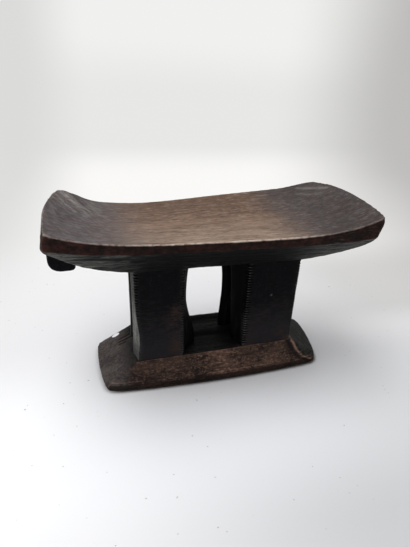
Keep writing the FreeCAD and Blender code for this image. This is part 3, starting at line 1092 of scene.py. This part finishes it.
def makeLeg(node, seed):
    s, size = legLook, legSizes[node]
    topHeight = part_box(node)[1].z
    rows = legRows(topHeight)
    side = math.copysign(1, size["inner"] - size["outer"])
    points, sunk, arrisGap = legLayers(size, rows, cutArrises(size, side, seed))
    if size["rear"]:
        points[:, 1] *= -1
    faces = tubeFaces(len(points) // len(rows), len(rows))
    if (side > 0) == size["rear"]:
        faces = [face[::-1] for face in faces]
    mesh = bpy.data.meshes.new(node)
    mesh.from_pydata(points.tolist(), [], faces)
    mesh.update()
    points, normals, edges = readPoints(mesh), readNormals(mesh), readEdges(mesh)
    wave = softNoise(points, s["waveCell"], seed + 1) * s["wave"]
    facets = (1 - gougeDishes(points, s["facetCell"], seed + 2)) * s["wave"]
    points = pushed(points - normals * (wave * 0.5 + facets - s["swell"])[:, None], size["pushes"])
    writePoints(mesh, points)
    z = points[:, 2]
    # Painted shade on the faces looking into the window, and on the rear legs into the gap
    inside = easeBetween(side * normals[:, 0], *s["insideSlope"])
    if size["rear"]:
        inside = np.maximum(inside, easeBetween(-normals[:, 1], *s["gapSlope"]))
    handledPath, handledWidth = size["handled"]
    writeMask(mesh, "notch", easeBetween(sunk, *s["cutShade"]))
    writeMask(mesh, "tooth", np.exp(-(arrisGap / s["toothReach"]) ** 2) * (1 - easeBetween(sunk, 0, 0.5 * mm)))
    # Painted light, falling off upwards under the seat
    writeMask(mesh, "footLight", 1 - easeBetween(z, *s["footFade"]))
    # Flank: dust and painted light on the outer side, less towards the foot
    flank = easeBetween(-side * normals[:, 0], *s["flankSlope"]) * (1 - 0.6 * easeBetween(z, *s["flankFade"]))
    flank *= size["dustAndLight"] * (0.35 + 0.65 * easeBetween(z, *s["flankFoot"]))
    for path in size["nicks"]:
        flank = np.maximum(flank, nearPath(points, path, 1.2, (0, 2)) * easeBetween(-normals[:, 1], 0.5, 0.8))
    writeMask(mesh, "flank", flank)
    writeMask(mesh, "handled", nearPath(points, handledPath, handledWidth, (0, 2)) * (1 - inside))
    writeMask(mesh, "inside", inside)
    bare = easeBetween(z, *s["bareFoot"]) * easeBetween(topHeight - z, *s["bareTop"])
    markEdges(mesh, *s["wearScale"], bare)
    name = "".join(word.title() for word in node.split("_")) + "Carved"
    return newPiece(name, mesh, node, darkWood)


legs = [makeLeg(node, legLook["firstSeed"] + legLook["seedStep"] * i) for i, node in enumerate(legSizes)]
print("legs carved:", [len(leg.data.vertices) for leg in legs])


# Floor, light and camera

stageLook = {
    "floor": tone(228, 228, 230),
    # The near and low floor tones are painted light falloff
    "nearLeft": tone(252, 253, 255),
    "nearMiddle": tone(245, 246, 250),
    "nearRight": tone(228, 229, 231),
    "lowLeft": tone(247, 247, 249),
    "lowRight": tone(206, 207, 209),
    "contactShadow": tone(52, 50, 50),
    "horizon": tone(249, 248, 246),
    "wall": tone(231, 231, 230),
    "leftSide": tone(218, 218, 217),
    "wallTop": tone(240, 240, 238),
    "aside": tone(190, 189, 187),
    "speck": tone(120, 118, 116),
    "floorHeight": -0.3 * mm,
    "reach": 6.0,
    "wallY": 2.2,
    "bend": 0.9,
    "nearReach": 0.12,
    "farReach": 0.85,
    "shadeReach": 9 * mm,  # how far the painted contact shadow reaches from under the foot block
    "specks": ((140, 140, 140), 2, 0.4),
    "bendSteps": 24,
}


def makeStageFinish():
    # Lit floor round the stool, and further off a plain backdrop that the camera and reflections see, glowing
    # with painted light
    s = stageLook
    r = Recipe("paleFloor")
    place = r.place()
    axes = r.node("ShaderNodeSeparateXYZ", {}, {"Vector": place})
    x, y, z = axes.of("X"), axes.of("Y"), axes.of("Z")
    away = r.node("ShaderNodeVectorMath", {"operation": "LENGTH"}, {0: place}).of("Value")
    # Painted light on the near floor: brighter to the left and in front, darker to the right
    near = r.blend(r.ease(x, -0.35, 0.05), s["nearLeft"], s["nearMiddle"])
    near = r.blend(r.ease(x, 0, 0.3), near, s["nearRight"])
    lowest = r.blend(r.ease(x, -0.32, 0.15), s["lowLeft"], s["lowRight"])
    near = r.blend(r.ease(0 - y, 0.16, 0.33), near, lowest)
    floor = r.blend(r.ease(0 - y, -0.1, 0.15), s["floor"], near)
    corner = r.node("ShaderNodeAmbientOcclusion", {"samples": 8}, {"Distance": s["shadeReach"]}).of("AO")
    # Painted contact shadow on the floor round the foot block, left off on its lit left side
    floor = r.blend(r.ease(corner, 0.97, 0.6) * r.ease(x, -0.2, -0.14), floor, s["contactShadow"])
    # Backdrop tones paint the light: bright at the horizon, lighter towards the top, darker to the right and on
    # the left
    far = r.blend(r.ease(z, 0, 0.12), s["horizon"], s["wall"])
    far = r.blend(r.ease(z, 0.35, 0.7), far, s["wallTop"])
    far = r.blend(r.ease(x - y * 0.45 - z * 0.1, 0, 1), far, s["aside"])
    far = r.blend(r.ease(0 - x, 0.15, 0.55) * 0.95, far, s["leftSide"])
    # Painted shadow of the stool on the floor and backdrop to its right
    dim = r.ease(x, 0.15, 0.45) * r.ease(y, 0, 0.1) * r.ease(0 - y, -0.5, -0.25) * 0.5
    floor, far = r.blend(dim, floor, s["aside"]), r.blend(dim, far, s["aside"])
    far = r.blend(r.ease(0 - y, -0.1, 0.2), far, near)
    specks = r.ease(r.noise(*s["specks"]), 0.73, 0.78) * 0.5
    floor, far = r.blend(specks, floor, s["speck"]), r.blend(specks * r.ease(0.4 - y, 0, 0.2), far, s["speck"])
    dull = {"Roughness": 0.9, "Specular IOR Level": 0.1}
    lit = r.node("ShaderNodeBsdfPrincipled", {}, dict(dull, **{"Base Color": floor}))
    # The backdrop glows as painted light, in place of a lit room
    glow = {"Base Color": tone(0, 0, 0), "Emission Color": far, "Emission Strength": 1.0}
    plain = r.node("ShaderNodeBsdfPrincipled", {}, dict(dull, **glow))
    path = r.node("ShaderNodeLightPath", {}, {})
    seen = path.of("Is Camera Ray") + path.of("Is Glossy Ray") + path.of("Is Transmission Ray")
    share = r.ease(away, s["nearReach"], s["farReach"]) * seen
    surface = r.node("ShaderNodeMixShader", {}, {0: share, 1: lit, 2: plain})
    r.node("ShaderNodeOutputMaterial", {}, {"Surface": surface})
    return r.material


def makeStage():
    s = stageLook
    profile = [(-s["reach"], s["floorHeight"])]
    for i in range(s["bendSteps"] + 1):
        angle = math.pi / 2 * i / s["bendSteps"]
        profile.append((s["wallY"] - s["bend"] + s["bend"] * math.sin(angle),
                        s["floorHeight"] + s["bend"] * (1 - math.cos(angle))))
    profile.append((s["wallY"], s["reach"]))
    points = [(x, y, z) for y, z in profile for x in (-s["reach"], s["reach"])]
    faces = [(2 * i, 2 * i + 1, 2 * i + 3, 2 * i + 2) for i in range(len(profile) - 1)]
    mesh = bpy.data.meshes.new("paleFloor")
    mesh.from_pydata(points, [], faces)
    mesh.shade_smooth()
    mesh.materials.append(makeStageFinish())
    floor = newObject("paleFloor", mesh)
    return floor


def softBox(name, place, aim, width, height, power):
    lamp = bpy.data.lights.new(name, "AREA")
    lamp.shape = "RECTANGLE"
    lamp.size, lamp.size_y = width, height
    lamp.energy = power
    box = newObject(name, lamp)
    box.location = place
    box.rotation_mode = "QUATERNION"
    box.rotation_quaternion = (Vector(aim) - Vector(place)).to_track_quat("-Z", "Y")


lightLook = {
    "sky": 0.62,
    "overhead": ((-0.6, 0.2, 2.0), (0, 0, 0.15), 1.6, 1.4, 24),
    "left": ((-1.8, 0.3, 0.9), (0, 0, 0.15), 0.9, 0.9, 7),
}


def makeLight():
    s = lightLook
    world = bpy.data.worlds.new("paleRoom")
    scene.world = world
    world.use_nodes = True
    world.node_tree.nodes["Background"].inputs["Color"].default_value = (1, 1, 1, 1)
    world.node_tree.nodes["Background"].inputs["Strength"].default_value = s["sky"]
    softBox("overhead", *s["overhead"])
    softBox("left", *s["left"])


cameraLook = {
    "place": (-154.1 * mm, -530.2 * mm, 427.1 * mm),
    "yaw": 15.739,
    "pitch": 25.991,
    "roll": -2.335,
    "focalPixels": 387.86,
    "tallPixels": 547,
    "sensor": 36.0,
}


def makeCamera():
    s = cameraLook
    yaw, pitch, roll = (math.radians(s[key]) for key in ("yaw", "pitch", "roll"))
    ahead = Vector((math.sin(yaw) * math.cos(pitch), math.cos(yaw) * math.cos(pitch), -math.sin(pitch)))
    level = Vector((math.cos(yaw), -math.sin(yaw), 0))
    down = ahead.cross(level)
    right = math.cos(roll) * level + math.sin(roll) * down
    below = -math.sin(roll) * level + math.cos(roll) * down
    camera = newObject("camera", bpy.data.cameras.new("camera"))
    camera.data.sensor_width = s["sensor"]
    camera.data.lens = s["focalPixels"] / s["tallPixels"] * s["sensor"]
    camera.data.clip_start = 10 * mm
    turned = Matrix((right, -below, -ahead)).transposed().to_4x4()
    camera.matrix_world = Matrix.Translation(Vector(s["place"])) @ turned
    scene.camera = camera


makeStage()
makeLight()
makeCamera()
scene.view_settings.view_transform = "Standard"
print("stage set")
